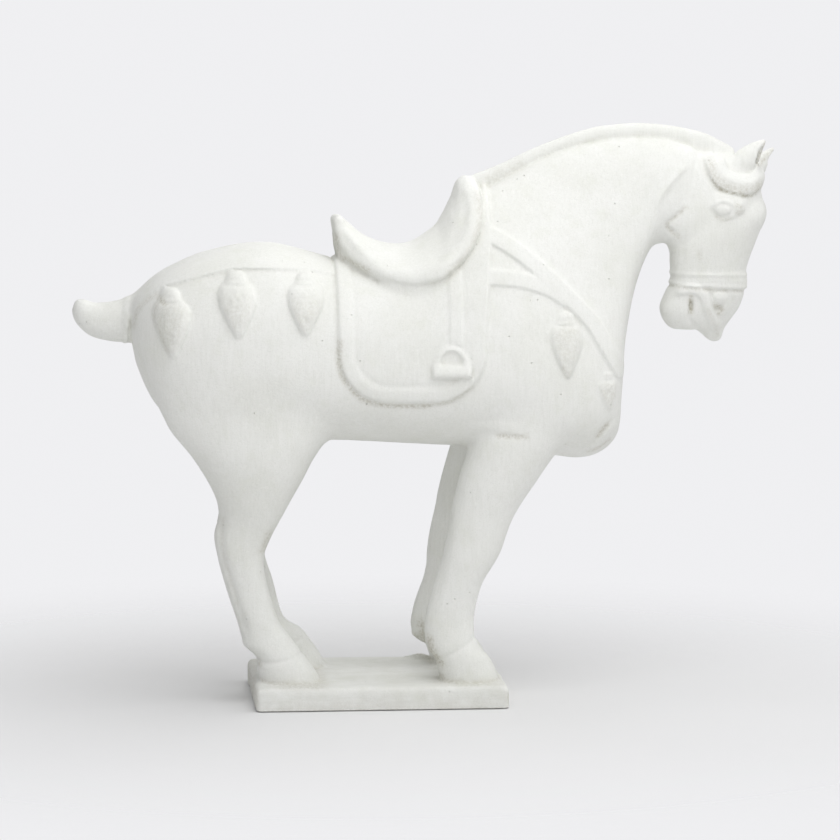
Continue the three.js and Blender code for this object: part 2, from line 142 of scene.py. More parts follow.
FORE_LEG = [
    [96, 306, 190, 306, 22, 0, -42], [88, 270, 188, 270, 34, 0, -43], [82, 236, 168, 238, 37, 0, -43],
    [72, 202, 143, 202, 33, 0, -44], [63, 166, 121, 168, 27, 0, -45], [56, 134, 108, 134, 24, 0, -46],
    [48, 104, 92, 106, 20, 0, -47], [41, 76, 85, 76, 18, 0, -48], [42, 53, 88, 55, 20, 0, -49],
    [50, 40, 99, 41, 22, 0, -50], [53, 28, 105, 28, 24, 0, -50], [57, 14, 110, 14, 26, 0, -50],
]
TAIL = [
    [-200, 322, -200, 368, 22, 0, 0], [-222, 324, -224, 364, 20, 0, 0],
    [-242, 326, -238, 361, 18, 0, 0], [-258, 331, -252, 360, 16, 0, 0],
    [-269, 341, -263, 363, 13, 0, 0], [-274, 352, -270, 363, 7, 0, 0],
]
MANE = [
    [84, 446, 76, 470, 5, 0, 0], [116, 460, 108, 481, 7, 0, 0], [162, 482, 154, 502, 7, 0, 0],
    [208, 496, 204, 517, 7, 0, 0], [250, 498, 251, 519.6, 7, 0, 0], [288, 490, 298, 511, 7, 0, 0],
    [316, 478, 329, 495, 6, 0, 0],
]


def smooth_rows(rows, places):
    """Rows of a table at fractional places, on the cubic through its rows: with a, b, c, d
    around the place and f the fraction past b, the value is
    b + f/2 * ((c - a) + f * ((2a - 5b + 4c - d) + f * (3(b - c) + d - a)))."""
    rows = np.asarray(rows, float)
    last = len(rows) - 1
    i = np.clip(np.floor(places).astype(int), 0, last - 1)
    a, b = rows[np.maximum(i - 1, 0)], rows[i]
    c, d = rows[i + 1], rows[np.minimum(i + 2, last)]
    f = (places - i)[..., None]
    return b + f / 2 * ((c - a) + f * ((2 * a - 5 * b + 4 * c - d) + f * (3 * (b - c) + d - a)))


def spaced(rows, count):
    """Rows of a table at a number of even places from its first row to its last."""
    return smooth_rows(rows, np.linspace(0, len(rows) - 1, count))


print("sections:", len(TRUNK), "trunk,", len(HEAD), "head,", len(HIND_LEG), "and", len(FORE_LEG), "legs")

# %% [markdown]
# ## A field instead of many shells
# Where a leg leaves the trunk, the concrete flows from one form into the other. Separate
# surfaces would meet in a crease, so each limb is a field: a number for every point of space,
# below zero in the concrete and above zero outside, about the distance to the skin. A soft
# minimum melts fields together, and one skin is drawn where the result is zero.

# %% The lattice of points
axes = [np.arange(low, high, CELL, dtype=np.float32) for low, high in zip(LOW, HIGH)]
SIDE_X, SIDE_Z = np.meshgrid(axes[0], axes[2], indexing="ij")
body = np.full([len(axis) for axis in axes], FAR, np.float32)
print("lattice", body.shape, "=", round(body.size / 1e6, 1), "million points")


def soft_min(a, b, reach):
    """The lower of two fields, rounded where they differ by less than reach:
    min(a, b) - reach/4 * (share of reach left)^2."""
    share = np.maximum(reach - np.abs(a - b), 0) / reach
    return np.minimum(a, b) - share * share * (reach / 4)


def soft_max(a, b, reach):
    """The higher of two fields, rounded in the same way."""
    return -soft_min(-a, -b, reach)


def ramp(value, start, end):
    """0 before start, 1 after end, and the S curve 3v^2 - 2v^3 between them."""
    v = np.clip((value - start) / (end - start), 0, 1)
    return v * v * (3 - 2 * v)


def bell(value, half):
    """A bell curve, 1 at zero: exp(-(value/half)^2)."""
    return np.exp(-((value / half) ** 2))


def part_of(lows, highs):
    """Slices of the lattice between two corners given in millimetres."""
    return tuple(
        slice(*np.clip(np.searchsorted(axis, [low, high]), 0, len(axis)))
        for axis, low, high in zip(axes, lows, highs)
    )


def along_axis(values, k):
    """A row of values, turned to lie along axis k of the lattice."""
    return values.reshape([-1 if j == k else 1 for j in range(3)])


def places_in(where):
    """The x, the y and the z of a part of the lattice, each along its own axis."""
    return [along_axis(axis[part], k) for k, (axis, part) in enumerate(zip(axes, where))]


def litres():
    """The volume of the concrete so far: points inside times the volume of a cell."""
    return round(float((body < 0).sum()) * CELL ** 3 / 1e6, 2)


# %% [markdown]
# ## One limb
# A point of the side view lies on one section line of the limb: the line that passes
# through it. Its place on that line, from -1 at the low end to 1 at the high end, and its
# sideways distance from the limb's middle decide together whether it is in the concrete.
# That is the rounded section: |sideways|^n + |up|^n = 1, where n = 2 is an ellipse and a
# higher n is boxier.

# %% The side view of a limb
STEPS_BETWEEN_ROWS = 12


def section_at(rows, x, z):
    """For points of the side view: the row of the section line through each point, its place
    up that line from -1 to 1, and how far it lies past the ends of the limb (below zero
    between them). Of several lines through a point, the nearest to its middle counts."""
    last = (len(rows) - 1) * STEPS_BETWEEN_ROWS
    places = np.linspace(0, len(rows) - 1, last + 1)
    lines = smooth_rows(rows, places)
    low_x, low_z, high_x, high_z = lines[:, :4].T
    length = np.hypot(high_x - low_x, high_z - low_z)
    middles = (lines[:, 0:2] + lines[:, 2:4]) / 2
    steps = np.hypot(*np.diff(middles, axis=0).T)
    walked = np.concatenate([[0], np.cumsum(steps)])
    first = middles[1] - middles[0]
    turn = np.sign(first[0] * (high_z[0] - low_z[0]) - first[1] * (high_x[0] - low_x[0]))
    best, place, past = [np.full(x.shape, value) for value in (np.inf, 0.0, FAR)]

    def ahead(k):
        rise, run = high_z[k] - low_z[k], high_x[k] - low_x[k]
        return (rise * (x - low_x[k]) - run * (z - low_z[k])) / length[k] * turn

    def keep(found, k, new_place, new_past):
        cost = np.where(found, np.hypot(x - middles[k, 0], z - middles[k, 1]), np.inf)
        better = cost < best
        for kept, new in ((best, cost), (place, new_place), (past, new_past)):
            np.copyto(kept, new, where=better)

    here, beyond = ahead(0), ahead(last)
    keep(here < 0, 0, places[0], -here)
    keep(beyond > 0, last, places[last], beyond)
    for k in range(last):
        there = ahead(k + 1)
        share = here / np.where(here - there == 0, 1, here - there)
        new_place = places[k] + share * (places[k + 1] - places[k])
        distance = walked[k] + share * steps[k]
        keep((here >= 0) & (there < 0), k, new_place, np.maximum(-distance, distance - walked[-1]))
        here = there
    row = smooth_rows(rows, place)
    reach = row[..., 2:4] - row[..., 0:2]
    along = (x - row[..., 0]) * reach[..., 0] + (z - row[..., 1]) * reach[..., 1]
    up = 2 * along / np.sum(reach * reach, axis=-1) - 1
    return row, up, past


# %% The field of a limb
WIDEST_TAPER = 1.3
MARGIN = 8


def limb(rows, roundness, melt, rounded_end=4.0):
    """Adds a limb to the body. With u the sideways distance over the half width and t the
    place up the section, the field is ((u^n + t^n)^(1/n) - 1) over its own slope, cut off
    at the ends of the limb."""
    table = np.asarray(rows, float)
    space = np.array([0, table[:, 4].max() * WIDEST_TAPER, 0]) + melt + MARGIN
    lows, highs = np.transpose([
        (table[:, columns].min(), table[:, columns].max()) for columns in ([0, 2], 6, [1, 3])
    ])
    where = part_of(lows - space, highs + space)
    row, up, past = section_at(rows, SIDE_X[where[0], where[2]], SIDE_Z[where[0], where[2]])

    def flat(values):
        return values.astype(np.float32)[:, None, :]

    half = flat(row[..., 4] * (1 + row[..., 5] * np.clip(up, -1.2, 1.2)))
    reach = flat(np.hypot(row[..., 2] - row[..., 0], row[..., 3] - row[..., 1]) / 2)
    t = np.abs(flat(up))
    u = np.abs(axes[1][where[1]][None, :, None] - flat(row[..., 6])) / half
    n = roundness
    r = np.maximum((u ** n + t ** n) ** (1 / n), 0.25)
    slope = r ** (1 - n) * np.hypot(u ** (n - 1) / half, t ** (n - 1) / reach)
    slope = np.clip(slope, 0.5 / np.maximum(half, reach), 1 / np.minimum(half, reach))
    field = soft_max((r - 1) / slope, flat(past), rounded_end)
    body[where] = soft_min(body[where], field, melt)


def far_side(rows, steps):
    """The leg of the far side: mirrored, and set off along the horse by an amount that
    depends on the height, because the two legs of a pair don't stand quite alike."""
    table = np.array(rows, float)
    table[:, [0, 2]] += np.interp(table[:, 1], *np.transpose(steps))[:, None]
    table[:, 6] *= -1
    return table.tolist()


# %% Trunk, legs, tail and head
# height, and how much further ahead the far leg stands there than the near one
FAR_HIND = [[28, 10.5], [43, 11.3], [53, 10.5], [62, 4], [76, 5], [100, 8], [210, 0]]
FAR_FORE = [
    [28, 0.5], [40, -1], [47, -4.5], [53, -5], [90, 0.4], [105, 0.6], [135, -4.5], [166, -5], [236, -6],
]
# rows, roundness of the section and reach of the melt into the body
LIMBS = [
    (TRUNK, 2.42, 1.0), (HIND_LEG, 2.2, 13.0), (far_side(HIND_LEG, FAR_HIND), 2.2, 13.0),
    (FORE_LEG, 2.2, 9.0), (far_side(FORE_LEG, FAR_FORE), 2.2, 9.0), (TAIL, 2.2, 8.0), (HEAD, 2.5, 7.0),
    (LIP, 2.5, 3.0),
]
for rows, roundness, melt in LIMBS:
    limb(rows, roundness, melt)
print("concrete in the limbs:", litres(), "litres")

# %% [markdown]
# ## Relief seen from the side
# Cloth, straps, pendants, eye and lips are low work on the skin. Seen from the side each is a
# drawing with a height, so they make one height map over the side view, which is taken off
# the field. It serves both flanks, as they carry the same work.

# %% Helpers for the relief
PATH_STEPS = 48


def near_path(points):
    """For every point of the side view: distance to a smooth path, above zero on the left of
    its direction, and the place along the path from 0 to 1."""
    dense = spaced(points, PATH_STEPS + 1)
    lengths = np.hypot(*np.diff(dense, axis=0).T)
    walked = np.concatenate([[0], np.cumsum(lengths)]) / lengths.sum()
    best = np.full(SIDE_X.shape, np.inf, np.float32)
    side = np.zeros_like(best)
    place = np.zeros_like(best)
    for k in range(PATH_STEPS):
        step = dense[k + 1] - dense[k]
        dx, dz = SIDE_X - dense[k, 0], SIDE_Z - dense[k, 1]
        share = np.clip((dx * step[0] + dz * step[1]) / (step @ step), 0, 1)
        away = np.hypot(dx - share * step[0], dz - share * step[1])
        nearer = away < best
        best = np.where(nearer, away, best)
        side = np.where(nearer, np.where(step[0] * dz >= step[1] * dx, 1, -1), side)
        place = np.where(nearer, walked[k] + share * (walked[k + 1] - walked[k]), place)
    return best * side, place


def faded(place, fade):
    """1 along a path, and down to 0 over a share of it at both ends."""
    return ramp(place, 0, fade) * ramp(1 - place, 0, fade)


def ridge(points, half, rise, fade=0.15):
    """A rounded ridge along a path: rise * sqrt(1 - (distance/half)^2), fading at its ends."""
    away, place = near_path(points)
    return rise * np.sqrt(np.clip(1 - (away / half) ** 2, 0, 1)) * faded(place, fade)


def groove(points, half, depth, fade=0.1):
    """A soft groove along a path: -depth * exp(-(distance/half)^2), fading at its ends."""
    away, place = near_path(points)
    return -depth * bell(away, half) * faded(place, fade)


def mound(x, z, half_x, half_z, rise, power=0.5):
    """An egg-shaped mound: rise * (1 - (dx/a)^2 - (dz/b)^2)^power."""
    return rise * np.clip(1 - ((SIDE_X - x) / half_x) ** 2 - ((SIDE_Z - z) / half_z) ** 2, 0, 1) ** power


def on_part(values, where):
    """Values of the side view on a part of the lattice, the same all across the horse."""
    return values[where[0], where[2]][:, None, :]


def take_off(values, lows, highs):
    """Takes a height on the side view off the body, between two corners of the lattice."""
    where = part_of(lows, highs)
    body[where] -= on_part(values, where)


# %% [markdown]
# ## Cloth, croup cover and straps
# The saddle cloth has a raised border with a groove inside it. A cover lies over the croup,
# and its lower edge throws a thin shadow. The broad breast strap runs down to the chest, and
# a short strap meets it from the cloth.

# %% Cloth under the saddle
CLOTH_REAR = -40.5
CLOTH_BOTTOM = 273.5
CLOTH_CORNER = 48
CLOTH_RISE = 2.6
BORDER = 16

cloth_front = 94 + 0.085 * np.clip(SIDE_Z - 330, 0, 90)
to_side = np.minimum(SIDE_X - CLOTH_REAR, cloth_front - SIDE_X)
to_bottom = SIDE_Z - CLOTH_BOTTOM
into_corner = [np.maximum(CLOTH_CORNER - away, 0) for away in (to_side, to_bottom)]
cloth_depth = np.minimum(np.minimum(to_side, to_bottom), CLOTH_CORNER - np.hypot(*into_corner))
to_front = ramp(SIDE_X, 66, 84)
cloth = CLOTH_RISE * ramp(cloth_depth, 0, 3.2)
cloth += 1.1 * ramp(cloth_depth, 0, 5.0) * (1 - ramp(cloth_depth, BORDER - 5, BORDER) * (1 - to_front))
cloth -= 0.55 * bell(cloth_depth - BORDER - 0.8, 1.5) * (1 - 0.7 * to_front)
cloth -= 0.5 * bell(cloth_depth + 1.8, 1.6)

# %% Cover over the croup
CROUP_EDGE = [
    [-223, 334], [-221, 345], [-217, 356], [-210, 364.5], [-200, 371.5], [-188, 377.5], [-165, 384],
    [-136, 391], [-118, 392.5], [-95, 392], [-71, 390.5], [-43, 387], [-20, 383],
]
above, _ = near_path(CROUP_EDGE)
to_saddle = ramp(SIDE_X, -120, -60)
croup = (2.3 - 0.7 * to_saddle) * ramp(above, 0, 2.8) * (1 - 0.85 * ramp(above, 3, 26))
croup -= 0.5 * bell(above + 1.2, 1.5) * (1 - 0.6 * to_saddle)
croup *= ramp(SIDE_X, -231, -223) * (1 - ramp(SIDE_X, CLOTH_REAR - 1, CLOTH_REAR + 1)) * (above > -12)

# %% Straps to the chest
BREAST_STRAP = [
    [98, 424], [112, 416], [124, 408], [138, 397], [152, 384], [163, 373], [176, 360], [190, 345],
    [200, 329], [209, 314], [218, 300],
]
SHORT_STRAP = [[96, 386], [118, 384.5], [134, 381], [152, 375], [166, 366]]


def strap(points, half, rise):
    """A flat band along a path, a little thicker along its upper edge, with a sharp groove
    under its lower edge."""
    away, place = near_path(points)
    flat = rise * np.where(away > 0, ramp(half - away, 0, 4.2), ramp(half + away, 0, 2.6))
    lip = 0.25 * bell(away - half + 2.6, 1.8)
    under = -0.4 * bell(away + half + 1.0, 1.4)
    return flat, (lip + under) * ramp(place, 0, 0.02) * (np.abs(away) < half + 8)


breast, breast_edges = strap(BREAST_STRAP, 8.7, 2.6)
short, short_edges = strap(SHORT_STRAP, 8.6, 2.2)
short_edges *= 1 - ramp(breast, 0, 1)
straps = np.maximum(breast, short) + np.where(breast >= short, breast_edges, short_edges)
straps *= ramp(SIDE_X, 92, 96)
raised = np.maximum(np.maximum(cloth, croup), straps)
sunk = np.minimum(np.minimum(cloth, croup), straps)
height = np.where(raised < 0.3, sunk, raised)
print("relief so far rises", round(float(height.max()), 2), "mm")

# %% [markdown]
# ## Pendants
# Five drops hang on each side, three from the croup cover, one from the breast strap and a
# small one on the chest. Under a cap with two rings each has a body like an acorn that ends
# in a blunt point and is carved with shallow veins.

# %% Pendants
# x and z of the top, lean of the tip, length, half width, rise
PENDANTS = [
    [-187, 377.5, 2, 62, 16.5, 9.0], [-129, 392.5, 2, 59, 17.2, 7.6], [-66.5, 391, -2, 56, 16.6, 7.5],
    [165, 354.5, 1, 59, 15.0, 6.5], [203.5, 300, 2, 36, 9.5, 2.6],
]
# place from top to tip, half width and rise as shares of the full ones
PENDANT_OUTLINE = [
    [0, 0.12, 0.3], [0.03, 0.42, 0.5], [0.1, 0.52, 0.66], [0.17, 0.64, 0.7], [0.235, 0.86, 0.85],
    [0.34, 1.0, 1.0], [0.5, 0.95, 1.0], [0.66, 0.75, 0.9], [0.82, 0.46, 0.68], [0.94, 0.26, 0.4],
    [1.0, 0.1, 0.1],
]


def speckle(seed):
    """Small random bumps over the side view, from about -1 to 1: random numbers, each mixed
    with its four neighbours."""
    values = np.random.default_rng(seed).uniform(-1, 1, SIDE_X.shape)
    around = sum(np.roll(values, step, axis) for axis in (0, 1) for step in (-1, 1))
    return (values * 2 + around) / 3


ROUGH = speckle(8)


def pendant(x, z, lean, length, half, rise):
    """Height of a drop: rise(v) * (1 - |across/half(v)|^2.2)^0.6 with v the place down it,
    less two ring grooves under the cap, shallow veins and a worn, rough skin."""
    v = (z - SIDE_Z) / length
    dense = spaced(PENDANT_OUTLINE, 161)
    half_here = half * np.interp(v, dense[:, 0], dense[:, 1], left=0, right=0)
    rise_here = rise * np.interp(v, dense[:, 0], dense[:, 2], left=0, right=0)
    across = SIDE_X - x - lean * v
    u = np.abs(across) / np.maximum(half_here, 0.01)
    form = rise_here * np.clip(1 - u ** 2.2, 0, 1) ** 0.6
    rings = 1.9 * bell((v - 0.215) * length, 1.4) + 0.9 * bell((v - 0.13) * length, 1.3)
    veins = 0.25 * np.cos(across / half * 9 + 2 * np.sin(v * 12))
    veins = veins * ramp(v, 0.28, 0.4) * (1 - ramp(v, 0.85, 0.98))
    worn = 0.45 * ROUGH * ramp(v, 0.15, 0.35)
    inside = (u < 1) & (v > 0) & (v < 1)
    return np.where(inside, np.maximum(form - (rings + veins + worn) * (1 - u ** 2), 0.0), 0)


drops = np.zeros_like(SIDE_X)
for row in PENDANTS:
    drop = pendant(*row)
    drops = np.maximum(drops, drop / row[5])
    height = np.where(drop > 0.2, np.maximum(height * 0.3 + drop, height), height)

# %% [markdown]
# ## Stirrup and leather
# The stirrup hangs over the cloth from a strap that comes out under the saddle: a half disc
# over a straight sole, with a small arched opening and a tread that comes forward below it.

# %% Stirrup and leather
LEATHER = [[66, 392], [66, 360], [65.5, 326]]
STIRRUP = (61.3, 306.0)
STIRRUP_HALF = 19.0
STIRRUP_HIGH = 21.5
STIRRUP_SOLE = 296.0
OPENING = (61.3, 309.0, 10.5, 12.5)

leather_away, _ = near_path(LEATHER)
leather_away = np.abs(leather_away)
edge = 0.45 * bell(leather_away - 7.4, 1.4)
under_leather = height + ramp(6.8 - leather_away, 0, 2.4) - edge
height = np.where((SIDE_Z > 322) & (SIDE_Z < 392) & (leather_away < 10), under_leather, height)
from_middle = np.abs(SIDE_X - STIRRUP[0])
over = np.hypot(from_middle / STIRRUP_HALF, np.maximum(SIDE_Z - STIRRUP[1], 0) / STIRRUP_HIGH)
outline_depth = np.minimum((1 - over) * STIRRUP_HALF, SIDE_Z - STIRRUP_SOLE)
arch = 2.4 * ramp(outline_depth, 0, 4.5)
tread = 3.3 * (1 - ramp(SIDE_Z, 300.5, 313)) * ramp(outline_depth, 0, 3.0)
opening = np.hypot((SIDE_X - OPENING[0]) / OPENING[2], (SIDE_Z - OPENING[1]) / OPENING[3])
opened = (1 - ramp(opening, 0.78, 1.12)) * ramp(SIDE_Z, OPENING[1] - 2.5, OPENING[1] + 1.5)
height = np.where(outline_depth > 0, CLOTH_RISE + arch * (1 - opened) + tread - 0.9 * opened, height)

# %% [markdown]
# ## The head
# The face is the finest work of the piece: a lidded eye under a brow, a leaf-shaped pad
# behind the jaw, a double noseband, full lips round a deep mouth, and a flared nostril.

# %% Eye, brow, cheek and mouth
EYE = (311.5, 442.3)
UPPER_LID = [[302, 440.5], [304.5, 446.5], [310.5, 450], [317, 448.8], [322, 443.5]]
LOWER_LID = [[303, 440], [306.5, 436], [312.5, 434.4], [318.5, 436.8], [322, 442]]
JOWL_EDGE = [[281, 485.5], [274, 478], [266.5, 469.8], [259, 461], [253, 452.5], [251.5, 442], [256, 433]]
JOWL_CREASE = [[278, 444.5], [270, 437], [262, 429.5], [266, 423.5], [273, 418.5]]
LIP_EDGE = [[268, 367], [282, 371], [291, 369], [297, 362.5], [300.5, 352], [304.5, 342.5], [310, 331]]
MOUTH = [[283, 366], [285, 352], [284, 343], [293, 334], [304, 326]]
NOSTRIL = [[302.5, 371], [304, 362], [308.5, 349], [316, 342.7], [324.5, 353], [323, 366]]

eye_ring = np.hypot((SIDE_X - EYE[0]) / 8.2, (SIDE_Z - EYE[1]) / 5.8)
jowl_away, jowl_place = near_path(JOWL_EDGE)
jowl_ends = ramp(jowl_place, 0, 0.15) * ramp(1 - jowl_place, 0, 0.35)
head = np.zeros_like(SIDE_X)
for form in (
    mound(317, 447.5, 17.5, 13.5, 3.6, 0.8),
    mound(349, 437, 13, 14, 2.0, 0.8),
    -1.1 * bell(eye_ring - 1.0, 0.2),
    mound(*EYE, 7.6, 5.4, 1.9, 0.7),
    ridge(UPPER_LID, 2.9, 1.5, fade=0.25) + ridge(LOWER_LID, 2.4, 0.8, fade=0.3),
    (1.3 + 0.6 * ROUGH) * mound(327, 444.5, 6.0, 6.5, 1.0, 1.0),
    1.7 * bell(jowl_away, 3.0) * jowl_ends,
    -0.3 * bell(jowl_away - 5.5, 3.4) * jowl_ends,
    groove(JOWL_CREASE, 2.2, 1.5, fade=0.25),
    groove([[277.5, 440], [277, 415], [278, 392]], 2.0, 0.5),
    ridge(LIP_EDGE, 4.8, 3.0, fade=0.12),
    groove(MOUTH, 2.0, 2.0),
    -mound(284.8, 355.5, 1.6, 5.6, 4.5, 1.0),
    mound(311, 362.5, 7.5, 6.5, 2.4, 1.0),
    groove(NOSTRIL, 1.9, 1.4),
    -(1 + 0.25 * ROUGH) * mound(310.5, 352.7, 4.4, 3.4, 3.2, 1.0),
):
    head += form

# %% Noseband
band_top = 385.5 - 0.024 * (SIDE_X - 300)
band_bottom = 371.5 - 0.07 * (SIDE_X - 300)
band = 0.9 * ramp(SIDE_Z, band_bottom, band_bottom + 1.4) * (1 - ramp(SIDE_Z, band_top - 1.4, band_top))
# height, rise and half width of the ridges and grooves along the band
BAND_LINES = [
    (band_top - 1.5, 0.5, 1.3), (band_top - 5.0, -0.6, 1.2), (band_bottom + 5.0, -0.4, 1.2),
    (band_bottom + 2.2, 0.5, 1.5), (band_bottom - 1.4, -1.2, 1.4),
]
for line, rise, half in BAND_LINES:
    band = band + rise * bell(SIDE_Z - line, half)
head += np.where(SIDE_X > 258, band, 0)
height += head * ramp(SIDE_X, 244, 252)
print("relief rises", round(float(height.max()), 2), "and falls", round(float(height.min()), 2), "mm")

# %% Lines of the legs, the hooves and the chest
# kind, points, half width, rise or depth, and the share of the path over which it fades
LEG_LINES = [
    (ridge, [[70, 248.5], [90, 252], [112, 251.5], [130, 248]], 5.0, 1.0, 0.35),
    (groove, [[98, 244.5], [112, 244], [132, 243]], 2.4, 1.1, 0.35),
    (groove, [[-141, 176], [-141.5, 140], [-133.3, 113], [-125, 84], [-118, 60]], 2.6, 1.6, 0.12),
    (groove, [[64, 190], [60, 150], [54, 115], [50, 80]], 3.5, 1.0, 0.3),
    (groove, [[-112, 40.5], [-98, 39.5], [-82, 42.5], [-69, 47], [-62, 50]], 1.9, 1.3, 0.1),
    (groove, [[54, 42], [66, 48.5], [80, 56.5], [90, 63]], 2.0, 1.2, 0.1),
    (groove, [[186, 227], [192, 236], [199, 246], [207, 254], [214, 262]], 2.4, 1.2, 0.25),
    (ridge, [[190, 222], [199, 235], [209, 246], [217, 258]], 4.0, 1.0, 0.3),
]
for shape, *drawing in LEG_LINES:
    height += shape(*drawing)

# %% Relief goes onto the skin
take_off(height, [-270, -110, 24], [360, 110, 525])
print("concrete with the relief:", litres(), "litres")

# %% [markdown]
# ## Stains and painted shade in given places
# Brown dirt lies along the lower edge of the cloth, along the croup cover by the tail, in a line
# under the forelock's edge and in the crumbs by the far fore heel, and a brown mark sits on the
# plinth's right end. A dark line runs along the plinth's lower edge. Painted shade darkens the
# creases and the places under things: the mouth and the nostril, under the eye, the noseband
# and the cantle, the crease of the jaw, the folds of the chest, the groove down the back of the
# hind leg, the heels, with some dirt, and the line where the hooves meet the plinth. It also
# greys the forelock's lower face, the outer flank of the band under the pommel and the plinth's
# left end. The pendants are a little grey on their lower parts, partly patina and partly painted
# shade. All this is drawn over the side view as soft lines with a strength, and goes onto the
# mesh as an attribute later.

# %% Lines of dirt and painted shade
# points of each line, half width, strength
STAIN_AND_SHADE_LINES = [
    ([[-38, 330], [-38.5, 312], [-35.5, 299], [-29.5, 290], [-21, 281], [-12, 276.5]], 2.6, 0.55),
    ([[-12, 276.5], [4, 272.5], [24, 271.8], [42, 272.3]], 2.0, 0.62),
    ([[42, 272.5], [62, 277], [80, 289]], 1.8, 0.35),
    ([[-219, 340], [-216, 354], [-209, 363], [-198, 371]], 1.6, 0.3),
    ([[-197, 366], [-201, 352], [-196, 338], [-189, 322]], 2.0, 0.3),
    ([[-196, 368], [-192, 364]], 2.4, 0.7), ([[-100, 156], [-103, 146], [-106, 140]], 3.0, 0.5),
    # painted shade in the groove down the back of the hind leg
    ([[-140, 170], [-142, 150], [-136, 120], [-128, 90]], 1.6, 0.22),
    # dirt and painted shade at the heels, then painted shade where the hind hoof meets the plinth
    ([[44, 60], [46, 50], [50, 43], [54, 38]], 3.4, 0.7),
    ([[-118, 49], [-110, 42], [-108, 36]], 2.2, 0.4),
    ([[-112, 24], [-96, 22], [-60, 21], [-47, 23]], 1.6, 0.4),
    # painted shade where the fore hoof meets the plinth and in the folds of the chest, with the next two
    # lines
    ([[52, 23], [80, 21.5], [112, 23]], 1.6, 0.4), ([[104, 244.5], [118, 244], [129, 243]], 2.0, 0.6),
    ([[196, 242], [200, 247.5], [204, 251.5]], 2.2, 0.7),
    ([[189, 226], [198, 230], [208, 237]], 1.5, 0.5), ([[161, 305], [165, 298], [168, 302]], 1.8, 0.35),
    ([[303, 469], [311, 460.5], [324, 457.5], [337, 455], [347, 462.5]], 1.4, 0.9),
    ([[352.5, 503], [348, 492], [345, 482]], 1.5, 0.9),
    ([[366, 497], [358, 489], [352, 482]], 1.6, 0.6), ([[324, 447], [329, 443], [325, 440]], 2.4, 0.45),
    # painted shade under the lower lid and in the crease of the jaw
    ([[305, 437], [312, 434], [319, 436]], 1.3, 0.4), (JOWL_CREASE, 1.5, 0.55),
    # painted shade in the mouth, the nostril and under the noseband
    ([[284, 363], [284.5, 350]], 2.0, 1.0), ([[308, 355], [313, 352], [311, 349]], 2.6, 0.7),
    ([[268, 373], [284, 371.5], [300, 370], [334, 368]], 1.3, 0.45),
    ([[300, 352], [306, 341], [312, 327]], 1.3, 0.3), ([[291, 405], [292, 398]], 2.0, 0.3),
    # painted shade under the cantle, on the outer flank of the band under the pommel and on the forelock's
    # lower face, in this order
    ([[-37, 421], [-34, 404], [-24, 398], [-10, 391]], 2.2, 0.5),
    ([[60, 388.5], [71, 397.5], [80.5, 409.5], [87.5, 425], [90.5, 442], [90, 457]], 3.4, 0.3),
    ([[301, 485], [303.5, 474], [311, 466], [324, 461.5], [338, 461], [347, 466]], 4.2, 0.4),
    # the second line here is painted shade on the plinth's left end, partly dirt
    ([[98.5, 467.5], [114, 475], [129, 482.5]], 6.0, 0.22), ([[-113.5, 1], [-113.5, 20]], 2.2, 0.45),
    ([[-112, 0.5], [0, 0.5], [112, 0.5]], 1.1, 0.7), ([[112.5, 1], [113, 14]], 1.4, 0.45),
    ([[38, 47], [44, 45], [49, 41]], 2.6, 0.6), ([[32, 25.6], [44, 26], [56, 25.6]], 1.6, 0.9),
]
stain_and_shade = np.zeros_like(SIDE_X)
for points, half, strength in STAIN_AND_SHADE_LINES:
    away, _ = near_path(points)
    stain_and_shade = np.maximum(stain_and_shade, strength * bell(away, half))
# the pendants' lower parts are greyed, partly patina and partly painted shade
stain_and_shade = np.maximum(stain_and_shade, 0.2 * ramp(drops, 0.2, 0.9) * ramp(370 - SIDE_Z, -12, 14))
print("stained_and_shaded share of the side view:", round(float((stain_and_shade > 0.2).mean()) * 100, 2), "%")

# %% [markdown]
# ## Mane, forelock and ears
# The mane is clipped short and stands up along the crest. A curled forelock lies on the
# forehead in front of the ears: round above its crest, and flat below it down to a sharp
# lower edge. The ears point forward with a small hollow.

# %% Mane
limb(MANE, 2.6, 3.0, rounded_end=6.0)


# %% Ears
CHAIN_BALLS = 28


def of_balls(x, y, z, balls, flat=1.0):
    """Field of many balls: the least of |p - centre| - radius, with y drawn in by flat."""
    field = FAR
    for ball_x, ball_y, ball_z, radius in balls:
        away = np.sqrt((x - ball_x) ** 2 + ((y - ball_y) / flat) ** 2 + (z - ball_z) ** 2)
        field = np.minimum(field, away - radius)
    return field


def chain(points, radii, lows, highs, flat=1.0, ripple=0.0):
    """Field of a chain of balls along a smooth path, their radius rippled near the root."""
    where = part_of(lows, highs)
    sizes = spaced([[r] for r in radii], CHAIN_BALLS)
    sizes[:, 0] += ripple * np.cos(np.linspace(0, 12 * np.pi, CHAIN_BALLS)) * np.linspace(1, 0, CHAIN_BALLS)
    balls = np.hstack([spaced(points, CHAIN_BALLS), sizes])
    return where, of_balls(*places_in(where), balls, flat)


EARS = [
    ([[327, -12, 476], [335, -14.5, 486], [343, -16, 495.5], [351, -17, 503.5]], [12, 11.4, 7.4, 2.0]),
    ([[340, 11, 471], [349, 12.5, 480], [357, 13.5, 488.5], [364.5, 14, 495.5]], [10, 8.4, 4.8, 1.8]),
]
for points, radii in EARS:
    lows = np.min(points, axis=0) - 20
    highs = np.max(points, axis=0) + 20
    where, ear = chain(points, radii, lows, highs, flat=0.9, ripple=0.55)
    outwards = np.sign(points[0][1])
    hollow_path = [[x + 6.5 - 1.2 * k, y + 2.5 * outwards, z - 2.5] for k, (x, y, z) in enumerate(points)]
    _, hollow = chain(hollow_path, [0.6, 2.8, 3.2, 0.8], lows, highs)
    ear = soft_max(ear, -hollow, 2.0)
    body[where] = soft_min(body[where], ear, 4.0)

